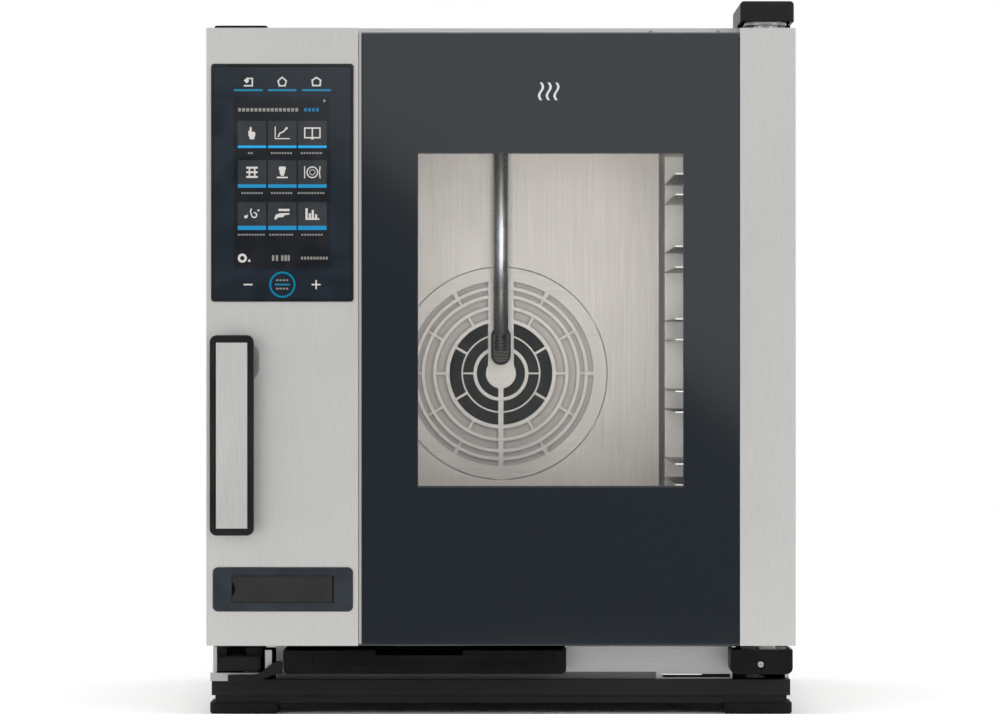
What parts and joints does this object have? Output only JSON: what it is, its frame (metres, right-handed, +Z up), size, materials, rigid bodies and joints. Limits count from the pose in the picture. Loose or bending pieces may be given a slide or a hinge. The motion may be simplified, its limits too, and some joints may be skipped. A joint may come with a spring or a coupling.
{
  "type": "combi steamer oven",
  "caption": "Countertop combi steamer oven with a right-hinged glass door, touch panel, turning handle, tray racks, fan and drip tray.",
  "frame": {"origin": "on the floor under the middle of the oven", "axes": "+Z up, the door faces -Y, +X to the right of someone facing the door"},
  "size_m": [0.535, 0.662, 0.649],
  "materials": {
    "rubber": "matte moulded rubber",
    "black_steel": "black powder coat",
    "galvanised": "galvanised sheet",
    "stainless": "brushed stainless sheet",
    "mineral_wool": "mineral wool board",
    "silicone": "moulded silicone",
    "machined_steel": "machined steel",
    "black_plastic": "moulded, fine texture",
    "grey_plastic": "moulded",
    "motor_paint": "enamelled motor shell",
    "heater_sheath": "heat-tinted sheath",
    "polished_steel": "polished stainless",
    "dark_steel": "dark oxide",
    "circuit_board": "solder mask",
    "brass": "machined",
    "tinted_glass": "tempered, dark enamel border",
    "clear_glass": "tempered",
    "panel_glass": "dark cover glass",
    "gloss_black": "moulded gloss"
  },
  "bodies": {
    "cabinet": {"feet": "rubber", "base_frame": "black_steel", "base_pan": "galvanised", "plinth_front": "stainless", "cavity_liner": "stainless", "cavity_insulation": "mineral_wool", "front_frame": "stainless", "door_seal": "silicone", "left_side_panel": "stainless", "right_side_panel": "stainless", "top_panel": "stainless", "back_panel": "galvanised", "upper_hinge_bracket": "machined_steel", "lower_hinge_bracket": "machined_steel", "hinge_pins": "machined_steel", "upper_hinge_cover": "black_plastic", "lower_hinge_cover": "black_plastic", "left_hinge_cap": "black_plastic", "left_lower_mount": "black_plastic", "air_baffle": "stainless", "fan_guard": "stainless", "fan_motor": "motor_paint", "heating_element": "heater_sheath", "steam_tube": "polished_steel", "steam_tube_holder": "dark_steel", "left_rack": "stainless", "right_rack": "stainless", "cavity_drain": "stainless", "exhaust_pipe": "stainless", "damper_motor": "black_plastic", "power_board": "circuit_board", "cooling_fan_frame": "black_plastic", "water_valve": "brass", "cable_gland": "black_plastic", "latch_keeper": "machined_steel", "cabinet_screws": "polished_steel"},
    "fan": {"fan_wheel": "stainless", "fan_shaft": "machined_steel"},
    "cooling_rotor": {"cooling_fan_rotor": "black_plastic"},
    "damper": {"exhaust_damper": "stainless"},
    "tray": {"drip_tray": "black_plastic"},
    "door": {"door_frame": "stainless", "outer_glass": "tinted_glass", "middle_glass": "clear_glass", "inner_glass": "clear_glass", "left_column": "stainless", "right_column": "stainless", "hinge_bushes": "brass", "touch_frame": "gloss_black", "touch_glass": "panel_glass", "display_module": "gloss_black", "control_board": "circuit_board", "handle_escutcheon": "grey_plastic", "usb_bezel": "gloss_black", "usb_port": "machined_steel"},
    "handle": {"handle_frame": "black_plastic", "handle_plate": "stainless", "handle_shaft": "machined_steel"},
    "latch": {"latch_bolt": "machined_steel"},
    "flap": {"usb_flap": "rubber"}
  },
  "joints": [
    {"name": "door_hinge", "type": "hinge", "parent": "cabinet", "child": "door", "pos_m": [0.241, -0.269, 0.0642], "axis": [0, 0, 1], "range_deg": [0, 120]},
    {"name": "handle_turn", "type": "hinge", "parent": "door", "child": "handle", "pos_m": [-0.23855, -0.295, 0.3219], "axis": [0, -1, 0], "range_deg": [0, 30]},
    {"name": "latch_slide", "type": "slide", "parent": "door", "child": "latch", "axis": [1, 0, 0], "range_m": [0, 0.011]},
    {"name": "flap_hinge", "type": "hinge", "parent": "door", "child": "flap", "pos_m": [-0.1541, -0.2953, 0.11565], "axis": [0, 0, 1], "range_deg": [0, 95]},
    {"name": "tray_slide", "type": "slide", "parent": "cabinet", "child": "tray", "axis": [0, -1, 0], "range_m": [0, 0.09]},
    {"name": "fan_spin", "type": "hinge", "parent": "cabinet", "child": "fan", "pos_m": [0, 0.1428, 0.31], "axis": [0, 1, 0], "continuous": true},
    {"name": "cooling_fan_spin", "type": "hinge", "parent": "cabinet", "child": "cooling_rotor", "pos_m": [0.19, 0.2858, 0.2], "axis": [0, 1, 0], "continuous": true},
    {"name": "damper_turn", "type": "hinge", "parent": "cabinet", "child": "damper", "pos_m": [-0.114, 0.2652, 0.5], "axis": [1, 0, 0], "range_deg": [0, 90]}
  ],
  "couplings": [
    {"joint": "latch_slide", "follows": "handle_turn", "m_per_rad": 0.021}
  ]
}
